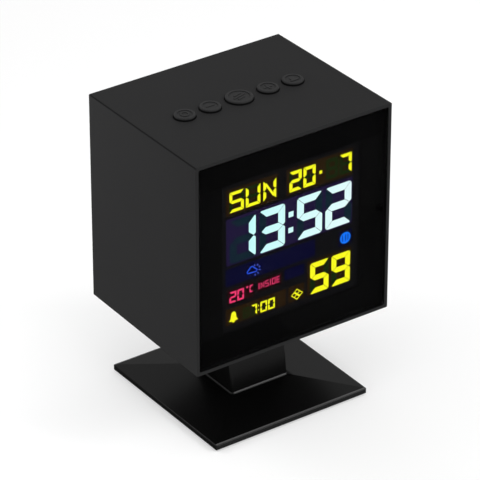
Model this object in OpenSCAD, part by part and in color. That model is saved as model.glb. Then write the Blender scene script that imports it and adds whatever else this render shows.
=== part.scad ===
// Digital alarm clock: a cube-shaped case with a colour display, on a square pyramid stand.
// Millimetres. +Z is up, the display faces -Y, and the origin is under the stand's centre, on the table.

/* [Case] */
// Width of the case at its front edge
case_w = 78; // [72:0.5:90]
// Height of the case at its front edge
case_h = 78; // [72:0.5:90]
// Depth of the case, from front edge to rear edge
case_d = 62.8; // [57:0.2:75]
// Moulding draft of each side wall, in degrees
case_draft = 0.5; // [0:0.1:1]
// Radius of the four long edges
case_edge_r = 0.35; // [0.2:0.05:1.5]
// Thickness of the case walls
case_wall = 2.25; // [1.9:0.05:2.8]
// Width of the rim round the front panel
rim_w = 1.2; // [0.9:0.05:1.6]
// Diameter of the four corner posts
post_d = 6.4; // [5.8:0.2:7.2]

/* [Front panel] */
// Depth of the panel behind the rim
lens_recess = 0.12; // [0.04:0.02:0.5]
// Thickness of the panel
lens_t = 1.2; // [0.8:0.1:1.4]
// Thickness of the adhesive frame behind the panel
tape_t = 0.2; // [0.1:0.05:0.3]
// Diameter of the light sensor's hole
sensor_hole_d = 2; // [1.6:0.1:2.2]
// Distance from the case wall to the middle of the light sensor's hole
sensor_inset = 1.05; // [1:0.05:1.6]

/* [Display] */
// Distance from the rim to the front of the display glass
glass_set_back = 2.6; // [2.4:0.1:4]
// Width of the display frame's border beside the glass
frame_border = 5.4; // [5:0.1:7]
// Overlap of the display frame's window on the glass
frame_lip = 1.5; // [1:0.1:2.5]
// Thickness of the display glass
glass_t = 2.2; // [1.6:0.1:3]
// Thickness of the light guide
guide_t = 3; // [2:0.1:4]
// Distance from the glass edge to the light guide's edge
guide_inset = 2.5; // [2.2:0.1:4]
// Thickness of the reflector behind the light guide
reflector_t = 1.5; // [1:0.1:2.5]
// Thickness of the main board
board_t = 1.6; // [1:0.1:2]

/* [Buttons] */
// Diameter of the four small buttons
button_d = 7.3; // [6.5:0.1:8]
// Diameter of the middle button
snooze_d = 9.5; // [8.5:0.1:10.5]
// Height of a button above the case
button_proud = 1.05; // [0.6:0.05:1.5]
// Travel of a button
button_travel = 0.5; // [0.3:0.05:0.6]
// Distance from the middle button to the next one
inner_pitch = 11.55; // [11:0.05:13]
// Distance from that button to the outer one
outer_pitch = 10.1; // [9.8:0.05:12]
// Radius of a button's top edge
button_edge_r = 0.5; // [0.2:0.05:0.6]
// Side of a push switch
switch_side = 6; // [5:0.1:6.5]
// Height of a push switch's body
switch_h = 3.4; // [2.6:0.1:4.5]
// Diameter of a push switch's plunger
plunger_d = 3.2; // [2.6:0.1:3.6]

/* [Rear cover] */
// Thickness of the rear cover
cover_t = 2; // [1.8:0.1:2.6]
// Depth of the rear cover inside the case's rear edge
cover_inset = 0.6; // [0.2:0.1:1.5]
// Thickness of the battery door
door_t = 1.8; // [1.4:0.1:2]
// Radius of the battery door's hinge barrel
barrel_r = 1.6; // [1.4:0.1:1.9]
// Diameter of the battery door's hinge pins
hinge_pin_d = 1.2; // [1:0.05:1.4]
// Wall of the battery box
box_wall = 1.5; // [1.2:0.1:2]

/* [Batteries] */
// Diameter of a battery cell
cell_d = 10.5; // [10:0.1:11]
// Length of a battery cell with its button
cell_l = 44.5; // [43:0.1:46]

/* [Stand] */
// Distance of the base's edge behind the case's front edge
base_set_back = 0.05; // [0:0.05:4]
// Height of the base's upright edge
base_edge_h = 2; // [1.8:0.1:4]
// Rise of the sloping top, from the edge to the neck
base_rise = 3.1; // [2.8:0.1:6]
// Radius along the base's top edge
base_edge_r = 0.6; // [0.3:0.1:1]
// Radius of the base's four corners
base_corner_r = 1; // [0.5:0.1:3]
// Width of the neck
neck_w = 23; // [21:0.1:28]
// Depth of the neck at its foot
neck_foot_d = 24.2; // [22:0.1:30]
// Depth of the neck at the case
neck_top_d = 18; // [17:0.1:22]
// Radius of the neck's four upright edges
neck_edge_r = 0.8; // [0.3:0.1:1.5]
// Bevel round the neck's foot
neck_foot_bevel = 0.5; // [0.2:0.1:1]
// Height from the base's underside to the case
stand_h = 31.8; // [26:0.1:45]
// Wall of the stand
stand_wall = 2; // [1.6:0.1:2.6]
// Thickness of the steel weight
weight_t = 1.6; // [1:0.1:1.7]
// Thickness of the base cover
base_cover_t = 1.2; // [1:0.1:1.4]
// Diameter of a rubber foot
foot_d = 9; // [6:0.1:10]
// Height of the feet below the base
foot_proud = 0.5; // [0.3:0.1:2]

/* [Hidden] */
$fn = 48;
overcut = 1;
skin = 0.01;

// Clearances
fit_gap = 0.1;
slide_gap = 0.15;
button_gap = 0.25;
frame_gap = 0.25;
cover_gap = 0.2;
door_gap = 0.2;
hinge_gap = 0.05;
screw_gap = 0.05;
flange_gap = 0.2;

// Case, measured from the front edge and the middle of its height
draft_slope = tan(case_draft);
case_z0 = foot_proud + stand_h;
mid_z = case_z0 + case_h / 2;
front_y = -case_d / 2;
rear_y = case_d / 2;
in_w = case_w - 2 * case_wall;
in_h = case_h - 2 * case_wall;
button_top_z = case_z0 + case_h - shrink(0);
ceiling_z = button_top_z - case_wall;
bottom_wall_z = case_z0 + shrink(0);

// Front panel and display stack, from front to rear
lens_w = case_w - 2 * rim_w - 2 * fit_gap;
lens_h = case_h - 2 * rim_w - 2 * fit_gap;
lens_r = 0.5;
lens_front_y = front_y + lens_recess;
lens_back_y = lens_front_y + lens_t;
ledge_y = lens_back_y + tape_t;
frame_front_y = lens_back_y + slide_gap;
glass_y = front_y + glass_set_back;
guide_y = glass_y + glass_t;
reflector_y = guide_y + guide_t;
board_y = reflector_y + reflector_t;
board_back_y = board_y + board_t;
frame_w = in_w - 2 * frame_gap;
frame_h = in_h - 2 * frame_gap;
glass_w = frame_w - 2 * frame_border - 2 * fit_gap;
glass_h = frame_h - 2 * frame_border - 2 * fit_gap;
guide_w = glass_w - 2 * guide_inset;
guide_h = glass_h - 2 * guide_inset;
sensor_x = in_w / 2 - sensor_inset;
pipe_d = sensor_hole_d - 2 * fit_gap;
frame_head_sink = 0.7;
sensor_slot_gap = 0.4;
sensor_w = 1.6;
sensor_t = 0.9;
strip_t = 1.6;
strip_end = 4;
led_t = 1.4;
led_l = 3;
led_h = 2.8;
led_count = 4;
led_pitch = 12;

// Corner posts and the main board between them
post_gap = 0.35;
post_inset = post_d / 2 + post_gap;
post_x = in_w / 2 - post_inset;
post_z = in_h / 2 - post_inset;
post_web = 0.4;
board_edge_gap = 0.3;
board_border = 2;
board_half_w = frame_w / 2 - board_edge_gap;
board_half_h = glass_h / 2 + board_border;
board_notch = 0.6;
board_screw_x = frame_w / 2 - frame_border / 2;
board_screw_z = 20;
chip_side = 14;
chip_t = 1.4;
chip_place = [-9, -4];
buzzer_d = 12;
buzzer_h = 8.5;
buzzer_port_d = 2;
buzzer_port_depth = 2;
buzzer_place = [16, 6];
socket_w = 11;
socket_h = 4;
socket_l = 4.5;
lead_w = 9;
lead_t = 0.8;
lead_bend_r = 4;

// Buttons, switches and their board, from the top down
button_xs = [-inner_pitch - outer_pitch, -inner_pitch, 0, inner_pitch, inner_pitch + outer_pitch];
button_ds = [button_d, button_d, snooze_d, button_d, button_d];
button_dish = 0.25;
button_rim = 1.05;
mark_t = 0.55;
mark_l = 3.2;
mark_h = 0.22;
bell_d = 2;
bell_drop = 1.05;
snooze_mark_l = 5.2;
snooze_mark_pitch = 1.3;
snooze_mark_turn = 15;
flange_w = 0.9;
flange_t = 0.8;
stem_l = 1.8;
plunger_rest = 0.4;
plunger_out = button_travel + plunger_rest;
plunger_in = 0.8;
flange_z = ceiling_z - flange_gap - flange_t;
plunger_top_z = flange_z - stem_l;
switch_top_z = plunger_top_z - plunger_out;
switch_z = switch_top_z - switch_h;
button_board_t = 1.2;
button_board_z = switch_z - button_board_t;
button_board_border = 1;
button_board_half_w = button_xs[4] + switch_side / 2 + button_board_border;
button_board_front_y = -9;
button_board_back_y = switch_side / 2 + button_board_border;
button_boss_d = 5;
button_boss_x = inner_pitch + outer_pitch / 2;
button_boss_y = -6;
button_socket_y = -5;

// Rear cover, from its outside inwards
cover_y = rear_y - cover_inset;
cover_in_y = cover_y - cover_t;
cover_w = in_w - 2 * shrink(rear_y) - 2 * cover_gap;
cover_h = in_h - 2 * shrink(rear_y) - 2 * cover_gap;
cover_bottom = -cover_h / 2;
cover_r = 0.6;
slot_count = 4;
slot_pitch = 2.6;
slot_t = 1.3;
slot_l = 16;
slot_x = 15;
slot_top = 5.5;

// Power inlet on the rear cover
usb_w = 8.9;
usb_h = 3.2;
usb_l = 7.4;
usb_recess = 0.6;
usb_shell_t = 0.35;
usb_back_t = 1;
usb_tongue_w = usb_w - 2.4;
usb_tongue_t = 0.7;
usb_tongue_set_back = 1;
usb_board_t = 1.2;
usb_board_w = 16;
usb_board_l = 12;
usb_rail_w = 1.5;
usb_rail_h = 3.6;
usb_bottom = 1.1;
usb_rail_z = cover_bottom + usb_bottom;
usb_board_z = usb_rail_z + (usb_rail_h - usb_board_t) / 2;
usb_z = usb_board_z + usb_board_t + usb_h / 2;
usb_gap = 0.3;

// Battery box, door and contacts
cell_count = 3;
cell_gap = 0.4;
cell_pitch = cell_d + cell_gap;
contact_t = 0.4;
contact_reach = 1.7;
box_w = cell_l + 2 * (contact_t + contact_reach + fit_gap);
box_h = cell_count * cell_pitch + cell_gap;
box_over_inlet = 2.4;
box_z0 = usb_z + usb_h / 2 + box_wall + box_over_inlet;
box_z1 = box_z0 + box_h;
cell_cover = 0.6;
door_in_y = cover_y - door_t;
cell_y = door_in_y - cell_cover - cell_d / 2;
box_floor_y = cell_y - cell_d / 2 - fit_gap;
ledge_w = 1;
open_w = box_w + 2 * ledge_w;
open_z0 = box_z0 - ledge_w;
hinge_y = cover_y - barrel_r;
hinge_z = box_z1 + ledge_w + barrel_r;
open_z1 = hinge_z + barrel_r + door_gap;
hinge_pin_l = 1.4;
hinge_block_wall = 1.4;
hinge_block_w = open_w + 2 * (hinge_pin_l + hinge_block_wall);
trough_y = hinge_y - barrel_r - door_gap;
door_rib_t = 1.2;
door_rib_h = 1.5;
nail_notch_d = 8;
nail_notch_t = 0.9;
grip_count = 4;
grip_pitch = 1.7;
grip_w = 0.8;
grip_l = 14;
grip_depth = 0.4;
cell_button_d = 3.8;
cell_button_l = 0.9;
leaf_h = cell_d - 2.5;
leaf_half = cell_d / 2 - 1;
leaf_tip = 0.4;

// Climate sensor behind the rear cover's left slots
climate_w = 10;
climate_h = 8;
climate_t = 1;
climate_stand_off = 3;
climate_post_d = 2.4;
climate_chip = 3;
climate_chip_t = 1;
climate_z = cover_h / 2 - slot_top - slot_pitch * (slot_count - 1) / 2;

// Stand, from the table up
base_side = case_d - 2 * base_set_back;
base_z = foot_proud;
base_edge_z = base_z + base_edge_h;
neck_z = base_edge_z + base_rise;
neck_seat = 0.9;
neck_top_z = case_z0 + neck_seat;
neck_roof_t = 2.8;
neck_roof_z = neck_top_z - neck_roof_t;
neck_foot_flare = 1.4 * neck_foot_bevel;
base_bottom_bevel = 0.3;
base_rim_w = 2.15;
base_recess = base_side - 2 * base_rim_w;
base_cover_z = base_z + base_cover_t;
weight_inset = 13.35;
weight_side = base_side - 2 * weight_inset;
weight_z = base_cover_z;
weight_hole_d = 12;
weight_ceiling_z = weight_z + weight_t + fit_gap;
foot_pocket = 0.6;
foot_inset = 1.2;
foot_bevel = 0.25;
foot_place = base_recess / 2 - foot_d / 2 - foot_inset;
base_screw_inset = 3;
base_screw_place = weight_side / 2 + base_screw_inset;
base_screw_l = 1.7;

// Joint of stand and case
spigot_inset = 3.5;
spigot_w = neck_w - 2 * spigot_inset;
spigot_d = neck_top_d - 2 * spigot_inset;
spigot_r = 1;
pad_h = 0.6;
pad_z = bottom_wall_z + case_wall + pad_h;
clamp_pull = 0.3;
spigot_z = pad_z - clamp_pull;
clamp_t = 2;
clamp_over = 5;
clamp_w = spigot_w + 2 * clamp_over;
clamp_d = spigot_d + 2 * clamp_over;
pad_border = 1;
stand_screw_x = spigot_w / 3;
stand_screw_d = 2.9;
stand_screw_head_d = 5;
stand_screw_head_h = 2;
stand_screw_out = 1;
stand_screw_l = pad_z + clamp_t + stand_screw_out - neck_roof_z;

// Small screws: head diameter, head height and shank diameter
small_head_d = 3.6;
small_head_h = 1.2;
small_shank_d = 1.6;
cover_head_d = 4.2;
cover_shank_d = 2.1;
display_screw_l = 14;
display_screw_y = frame_front_y + frame_head_sink + small_head_h;
display_screw_end_y = display_screw_y + display_screw_l;
board_screw_l = 5.6;
cover_screw_l = 9;
cover_shank_l = cover_t - small_head_h + cover_screw_l - fit_gap;
button_screw_l = 6;
head_bevel = 0.3;
cross_w = 0.5;
cross_span = 0.6;
cross_depth = 0.6;
sink_head_d = 3.4;
sink_head_h = 0.9;

// Heights of the two leads
lead_z = button_board_z - socket_h - lead_bend_r;
power_lead_z = mid_z + usb_board_z + usb_board_t + socket_h / 2;

// How far a side wall has drawn in at depth y
function shrink(y) = (y + case_d / 2) * draft_slope;

// Points of an arc
function arc(centre, r, from, to, steps = 6) = [
    for (i = [0 : steps])
        let (a = from + (to - from) * i / steps)
        centre + r * [cos(a), sin(a)]
];

// A half outline and its mirror image, closed
function both_sides(half) =
    concat(half, [for (i = [len(half) - 1 : -1 : 0]) [-half[i][0], half[i][1]]]);

module rounded_rect(w, h, r) {
    square([w - 2 * r, h], center = true);
    square([w, h - 2 * r], center = true);
    for (x = [-1, 1], y = [-1, 1])
        translate([x * (w / 2 - r), y * (h / 2 - r)])
            circle(r);
}

// A sketch in X and height over the case's middle, carried from y0 to y1
module along_y(y0, y1) {
    translate([0, y1, mid_z])
        rotate([90, 0, 0])
            linear_extrude(y1 - y0)
                children();
}

// A sketch in Y and Z, carried from x0 to x1
module along_x(x0, x1) {
    translate([x0, 0, 0])
        rotate([90, 0, 90])
            linear_extrude(x1 - x0)
                children();
}

module corners(x, z) {
    for (i = [-1, 1], k = [-1, 1])
        translate([i * x, k * z])
            children();
}

// A block that narrows to the rear with the case's draft
module drafted_block(w, h, r, y0, y1) {
    hull() {
        along_y(y0, y0 + skin)
            rounded_rect(w - 2 * shrink(y0), h - 2 * shrink(y0), r, $fn = 32);
        along_y(y1 - skin, y1)
            rounded_rect(w - 2 * shrink(y1), h - 2 * shrink(y1), r, $fn = 32);
    }
}

// A pan head screw that points up, with the underside of its head at z = 0
module pan_screw(head_d, head_h, shank_d, shank_l) {
    cylinder(d = shank_d, h = shank_l);
    translate([0, 0, -head_h])
        difference() {
            union() {
                cylinder(d1 = head_d - 2 * head_bevel, d2 = head_d, h = head_bevel);
                translate([0, 0, head_bevel])
                    cylinder(d = head_d, h = head_h - head_bevel);
            }
            cross_recess(head_d);
        }
}

module cross_recess(head_d) {
    for (a = [0, 90])
        rotate(a)
            translate([-head_d * cross_span / 2, -cross_w / 2, -overcut])
                cube([head_d * cross_span, cross_w, overcut + cross_depth]);
}

// Case

module housing() {
    color("#303030")
        difference() {
            union() {
                difference() {
                    drafted_block(case_w, case_h, case_edge_r, front_y, rear_y);
                    drafted_block(in_w, in_h, case_edge_r / 2, front_y - overcut, rear_y + overcut);
                }
                corner_posts();
                button_board_bosses();
                stand_pad();
            }
            along_y(front_y - overcut, ledge_y)
                rounded_rect(lens_w + 2 * fit_gap, lens_h + 2 * fit_gap, lens_r + fit_gap);
            post_bores();
            button_bores();
            stand_socket();
        }
}

module corner_posts() {
    web = post_inset + post_web;
    for (i = [0, 1], k = [0, 1])
        mirror([i, 0, 0])
            along_y(board_y, cover_in_y)
                mirror([0, k, 0])
                    translate([post_x, post_z]) {
                        circle(d = post_d);
                        translate([-post_d / 2, 0])
                            square([post_d / 2 + web, web]);
                        translate([0, -post_d / 2])
                            square([web, post_d / 2 + web]);
                    }
}

module post_bores() {
    along_y(board_y - overcut, display_screw_end_y + overcut)
        corners(post_x, post_z)
            circle(d = small_shank_d + 2 * screw_gap);
    along_y(cover_in_y - cover_screw_l, cover_in_y + overcut)
        corners(post_x, post_z)
            circle(d = cover_shank_d + 2 * screw_gap);
}

module button_board_bosses() {
    for (i = [-1, 1])
        translate([i * button_boss_x, button_boss_y, switch_z])
            difference() {
                cylinder(d = button_boss_d, h = ceiling_z + case_wall / 2 - switch_z);
                translate([0, 0, -overcut])
                    cylinder(d = small_shank_d + 2 * screw_gap, h = button_screw_l + overcut);
            }
}

module button_bores() {
    for (i = [0 : 4])
        translate([button_xs[i], 0, ceiling_z - overcut])
            cylinder(d = button_ds[i] + 2 * button_gap, h = case_wall + 2 * overcut);
}

// Flat pad inside the bottom wall, where the stand is clamped
module stand_pad() {
    pad_z0 = bottom_wall_z + case_wall / 2;
    pad_w = clamp_w + 2 * pad_border;
    pad_d = clamp_d + 2 * pad_border;
    translate([-pad_w / 2, -pad_d / 2, pad_z0])
        cube([pad_w, pad_d, pad_z - pad_z0]);
}

// Depth of the tapering neck at a height
function neck_depth(z) =
    neck_top_d + (neck_foot_d - neck_top_d) * (neck_top_z - z) / (neck_top_z - neck_z);

// Shallow seat for the neck's top, and the opening for its spigot
module stand_socket() {
    translate([0, 0, case_z0 - overcut])
        linear_extrude(overcut + neck_seat)
            rounded_rect(neck_w + 2 * fit_gap, neck_depth(case_z0) + 2 * fit_gap, neck_edge_r, $fn = 24);
    translate([0, 0, case_z0])
        linear_extrude(pad_z - case_z0 + overcut)
            rounded_rect(spigot_w + 2 * fit_gap, spigot_d + 2 * fit_gap, spigot_r);
}

// Front panel and display

module front_lens() {
    color("#101012")
        along_y(lens_front_y, lens_back_y)
            difference() {
                rounded_rect(lens_w, lens_h, lens_r);
                translate([sensor_x, 0])
                    circle(d = sensor_hole_d);
            }
}

module lens_tape() {
    color("#1a1a1a")
        along_y(lens_back_y, ledge_y)
            difference() {
                rounded_rect(lens_w - 2 * fit_gap, lens_h - 2 * fit_gap, lens_r);
                square([in_w + fit_gap, in_h + fit_gap], center = true);
            }
}

module display_frame() {
    color("#141414")
        difference() {
            along_y(frame_front_y, board_y)
                rounded_rect(frame_w, frame_h, lens_r);
            along_y(frame_front_y - overcut, glass_y + overcut)
                square([glass_w - 2 * frame_lip, glass_h - 2 * frame_lip], center = true);
            along_y(glass_y, board_y + overcut)
                square([glass_w + 2 * fit_gap, glass_h + 2 * fit_gap], center = true);
            along_y(frame_front_y - overcut, display_screw_y)
                corners(post_x, post_z)
                    circle(d = small_head_d + 2 * fit_gap);
            along_y(frame_front_y, board_y + overcut)
                corners(post_x, post_z)
                    circle(d = small_shank_d + 2 * fit_gap);
            along_y(board_back_y - board_screw_l - overcut, board_y + overcut)
                corners(board_screw_x, board_screw_z)
                    circle(d = small_shank_d + 2 * screw_gap);
            along_y(frame_front_y - overcut, board_y + overcut)
                translate([sensor_x - sensor_hole_d / 2 - sensor_slot_gap, -sensor_hole_d / 2 - fit_gap])
                    square([sensor_hole_d + sensor_inset, sensor_hole_d + 2 * fit_gap]);
        }
}

module lcd_panel() {
    color("#0d0d14")
        along_y(glass_y, guide_y)
            square([glass_w, glass_h], center = true);
}

module light_guide() {
    color("#e4ecf2")
        along_y(guide_y, reflector_y)
            square([guide_w, guide_h], center = true);
}

module reflector() {
    color("#f2f2f0")
        along_y(reflector_y, board_y)
            square([guide_w, guide_h], center = true);
}

module backlight_leds() {
    first = -led_pitch * (led_count - 1) / 2;
    color("#f6f0c8")
        along_y(board_y - led_h, board_y)
            for (i = [0 : led_count - 1])
                translate([-guide_w / 2 - slide_gap - led_t / 2, first + i * led_pitch])
                    square([led_t, led_l], center = true);
}

module contact_strips() {
    color("#2b2b33")
        along_y(guide_y, board_y)
            for (k = [-1, 1])
                translate([0, k * (glass_h / 2 - strip_t / 2 - fit_gap)])
                    square([glass_w - 2 * strip_end, strip_t], center = true);
}

module main_board() {
    notch_x = post_x - post_d / 2 - board_notch;
    notch_z = post_z - post_d / 2 - board_notch;
    color("#1f5c38")
        along_y(board_y, board_back_y)
            difference() {
                union() {
                    square([2 * board_half_w, 2 * notch_z], center = true);
                    square([2 * notch_x, 2 * board_half_h], center = true);
                }
                corners(board_screw_x, board_screw_z)
                    circle(d = small_shank_d + 2 * fit_gap);
            }
}

module controller_chip() {
    color("#18181a")
        along_y(board_back_y, board_back_y + chip_t)
            translate(chip_place)
                square(chip_side, center = true);
}

module buzzer() {
    color("#151515")
        difference() {
            along_y(board_back_y, board_back_y + buzzer_h)
                translate(buzzer_place)
                    circle(d = buzzer_d);
            along_y(board_back_y + buzzer_h - buzzer_port_depth, board_back_y + buzzer_h + overcut)
                translate(buzzer_place)
                    circle(d = buzzer_port_d);
        }
}

module light_sensor() {
    color("#26262a")
        along_y(board_y - sensor_t, board_y)
            translate([board_half_w - sensor_w / 2 - fit_gap, 0])
                square([sensor_w, sensor_w], center = true);
}

module sensor_pipe() {
    color("#202024")
        along_y(lens_back_y + fit_gap / 2, board_y - sensor_t - fit_gap)
            translate([sensor_x, 0])
                circle(d = pipe_d);
}

module display_screws() {
    color("#b8b8ba")
        for (i = [-1, 1], k = [-1, 1])
            translate([i * post_x, display_screw_y, mid_z + k * post_z])
                rotate([-90, 0, 0])
                    pan_screw(small_head_d, small_head_h, small_shank_d, display_screw_l);
}

module board_screws() {
    color("#b8b8ba")
        for (i = [-1, 1], k = [-1, 1])
            translate([i * board_screw_x, board_back_y, mid_z + k * board_screw_z])
                rotate([90, 0, 0])
                    pan_screw(small_head_d, small_head_h, small_shank_d, board_screw_l);
}

// Buttons

// Cap with a rounded edge and a raised mark in a shallow dish, a flange under the case wall, and a stem
module button(i) {
    r = button_ds[i] / 2;
    cap_h = button_top_z + button_proud - flange_z;
    color("#343434")
        translate([button_xs[i], 0, flange_z]) {
            rotate_extrude()
                difference() {
                    union() {
                        square([r - button_edge_r, cap_h]);
                        square([r, cap_h - button_edge_r]);
                        translate([r - button_edge_r, cap_h - button_edge_r])
                            intersection() {
                                circle(button_edge_r);
                                square(button_edge_r);
                            }
                        square([r + flange_w, flange_t]);
                        translate([0, -stem_l])
                            square([plunger_d / 2, stem_l]);
                    }
                    translate([0, cap_h - button_dish])
                        square([r - button_rim, overcut]);
                }
            translate([0, 0, cap_h - 2 * button_dish])
                linear_extrude(button_dish + mark_h)
                    children();
        }
}

module mark_bar(l) {
    square([l, mark_t], center = true);
}

module plus_mark() {
    mark_bar(mark_l);
    rotate(90)
        mark_bar(mark_l);
}

// Ring for the mode button
module ring_mark() {
    difference() {
        circle(d = mark_l);
        circle(d = mark_l - 2 * mark_t);
    }
}

// Three rising strokes for the snooze button, the middle one longer
module stroke_mark() {
    for (k = [-1 : 1])
        translate([0, k * snooze_mark_pitch])
            rotate(snooze_mark_turn)
                mark_bar(k == 0 ? snooze_mark_l : mark_l);
}

// Bell for the alarm button
module bell_mark() {
    translate([0, -bell_drop])
        mark_bar(mark_l);
    translate([0, bell_drop / 2])
        circle(d = bell_d);
    translate([-bell_d / 2, -bell_drop])
        square([bell_d, 1.5 * bell_drop]);
}

module plunger(i) {
    color("#d8d2c4")
        translate([button_xs[i], 0, switch_top_z - plunger_in])
            cylinder(d = plunger_d, h = plunger_in + plunger_out);
}

module mode_button() { button(0) ring_mark(); }
module minus_button() { button(1) mark_bar(mark_l); }
module snooze_button() { button(2) stroke_mark(); }
module plus_button() { button(3) plus_mark(); }
module alarm_button() { button(4) bell_mark(); }
module mode_plunger() { plunger(0); }
module minus_plunger() { plunger(1); }
module snooze_plunger() { plunger(2); }
module plus_plunger() { plunger(3); }
module alarm_plunger() { plunger(4); }

module switch_bodies() {
    bore_depth = plunger_in + button_travel + slide_gap;
    color("#222224")
        for (x = button_xs)
            translate([x, 0, switch_z])
                difference() {
                    translate([-switch_side / 2, -switch_side / 2, 0])
                        cube([switch_side, switch_side, switch_h]);
                    translate([0, 0, switch_h - bore_depth])
                        cylinder(d = plunger_d + 2 * fit_gap, h = bore_depth + overcut);
                }
}

module button_board() {
    color("#1f5c38")
        difference() {
            translate([-button_board_half_w, button_board_front_y, button_board_z])
                cube([2 * button_board_half_w, button_board_back_y - button_board_front_y, button_board_t]);
            for (i = [-1, 1])
                translate([i * button_boss_x, button_boss_y, button_board_z - overcut])
                    cylinder(d = small_shank_d + 2 * fit_gap, h = button_board_t + 2 * overcut);
        }
}

module button_board_screws() {
    color("#b8b8ba")
        for (i = [-1, 1])
            translate([i * button_boss_x, button_boss_y, button_board_z])
                pan_screw(small_head_d, small_head_h, small_shank_d, button_screw_l);
}

// Leads and their sockets

module board_sockets() {
    color("#e8e4da") {
        translate([-socket_w / 2, board_back_y, lead_z - socket_h / 2])
            cube([socket_w, socket_l, socket_h]);
        translate([-socket_w / 2, button_socket_y - socket_l / 2, button_board_z - socket_h])
            cube([socket_w, socket_l, socket_h]);
        translate([-socket_w / 2, board_back_y, power_lead_z - socket_h / 2])
            cube([socket_w, socket_l, socket_h]);
        translate([-socket_w / 2, cover_in_y - usb_board_l, power_lead_z - socket_h / 2])
            cube([socket_w, socket_l, socket_h]);
    }
}

// Flat lead that bends up from the main board to the button board
module button_lead() {
    bend_y = button_socket_y - lead_bend_r;
    outer_r = lead_bend_r + lead_t / 2;
    start_y = board_back_y + socket_l;
    color("#c8c8cc")
        along_x(-lead_w / 2, lead_w / 2) {
            translate([start_y, lead_z - lead_t / 2])
                square([bend_y - start_y, lead_t]);
            translate([bend_y, lead_z + lead_bend_r])
                intersection() {
                    difference() {
                        circle(outer_r);
                        circle(outer_r - lead_t);
                    }
                    translate([0, -outer_r])
                        square(outer_r);
                }
        }
}

module power_lead() {
    start_y = board_back_y + socket_l;
    color("#c8c8cc")
        translate([-lead_w / 2, start_y, power_lead_z - lead_t / 2])
            cube([lead_w, cover_in_y - usb_board_l - start_y, lead_t]);
}

// Rear cover

module rear_cover() {
    color("#2c2c2c")
        difference() {
            union() {
                along_y(cover_in_y, cover_y)
                    rounded_rect(cover_w, cover_h, cover_r);
                along_y(box_floor_y - box_wall, cover_in_y)
                    box_outline(box_w + 2 * box_wall, box_z0 - box_wall, box_z1 + box_wall);
                along_y(trough_y - hinge_block_wall, cover_in_y)
                    box_outline(hinge_block_w, box_z1 + box_wall / 2, open_z1 + hinge_block_wall);
                usb_rails();
                climate_posts();
            }
            along_y(box_floor_y, cover_y)
                box_outline(box_w, box_z0, box_z1);
            along_y(door_in_y - fit_gap, cover_y + overcut)
                box_outline(open_w, open_z0, open_z1);
            along_y(trough_y, cover_y)
                box_outline(open_w, hinge_z - barrel_r - door_gap, open_z1);
            hinge_bores();
            cover_slots();
            usb_opening();
            along_y(cover_in_y - overcut, cover_y + overcut)
                corners(post_x, post_z)
                    circle(d = cover_shank_d + 2 * fit_gap);
            along_y(cover_y - small_head_h, cover_y + overcut)
                corners(post_x, post_z)
                    circle(d = cover_head_d + 2 * fit_gap);
        }
}

module box_outline(w, z0, z1) {
    translate([-w / 2, z0])
        square([w, z1 - z0]);
}

module hinge_bores() {
    for (i = [0, 1])
        mirror([i, 0, 0])
            translate([open_w / 2 - overcut, hinge_y, mid_z + hinge_z])
                rotate([0, 90, 0])
                    cylinder(d = hinge_pin_d + 2 * hinge_gap, h = overcut + hinge_pin_l + fit_gap);
}

module cover_slots() {
    along_y(cover_in_y - overcut, cover_y + overcut)
        for (i = [-1, 1], k = [0 : slot_count - 1])
            translate([i * slot_x, cover_h / 2 - slot_top - k * slot_pitch]) {
                square([slot_l - slot_t, slot_t], center = true);
                for (e = [-1, 1])
                    translate([e * (slot_l - slot_t) / 2, 0])
                        circle(d = slot_t);
            }
}

module usb_outline(gap) {
    rounded_rect(usb_w + 2 * gap, usb_h + 2 * gap, usb_h / 2 + gap - 0.01);
}

module usb_opening() {
    along_y(cover_in_y - overcut, cover_y + overcut)
        translate([0, usb_z])
            usb_outline(usb_gap);
}

// Two grooved rails that hold the power inlet's board
module usb_rails() {
    groove_w = 0.8;
    rail_x = usb_board_w / 2 + fit_gap - groove_w;
    for (i = [0, 1])
        mirror([i, 0, 0])
            along_y(cover_in_y - usb_board_l, cover_in_y)
                difference() {
                    translate([rail_x, usb_rail_z])
                        square([groove_w + usb_rail_w, usb_rail_h]);
                    translate([rail_x - overcut, usb_board_z - fit_gap])
                        square([groove_w + overcut, usb_board_t + 2 * fit_gap]);
                }
}

module climate_posts() {
    along_y(cover_in_y - climate_stand_off, cover_in_y)
        for (i = [-1, 1])
            translate([-slot_x + i * (climate_w - climate_post_d) / 2, climate_z + slot_pitch])
                square([climate_post_d, slot_pitch - slot_t - fit_gap], center = true);
}

module rear_cover_screws() {
    color("#8f8f92")
        for (i = [-1, 1], k = [-1, 1])
            translate([i * post_x, cover_y - small_head_h, mid_z + k * post_z])
                rotate([90, 0, 0])
                    pan_screw(cover_head_d, small_head_h, cover_shank_d, cover_shank_l);
}

// Door that swings up about two pins at its upper edge
module battery_door() {
    door_w = open_w - 2 * door_gap;
    door_z0 = open_z0 + door_gap;
    color("#2c2c2c")
        difference() {
            union() {
                along_x(-door_w / 2, door_w / 2) {
                    translate([door_in_y, mid_z + door_z0])
                        square([door_t, hinge_z - door_z0]);
                    translate([hinge_y, mid_z + hinge_z])
                        circle(barrel_r);
                }
                translate([-open_w / 2 - hinge_pin_l, hinge_y, mid_z + hinge_z])
                    rotate([0, 90, 0])
                        cylinder(d = hinge_pin_d, h = open_w + 2 * hinge_pin_l);
                door_ribs();
            }
            along_y(cover_y - nail_notch_t, cover_y + overcut)
                translate([0, door_z0])
                    circle(d = nail_notch_d);
            along_y(cover_y - grip_depth, cover_y + overcut)
                for (k = [1 : grip_count])
                    translate([0, door_z0 + nail_notch_d / 2 + k * grip_pitch])
                        square([grip_l, grip_w], center = true);
        }
}

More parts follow.
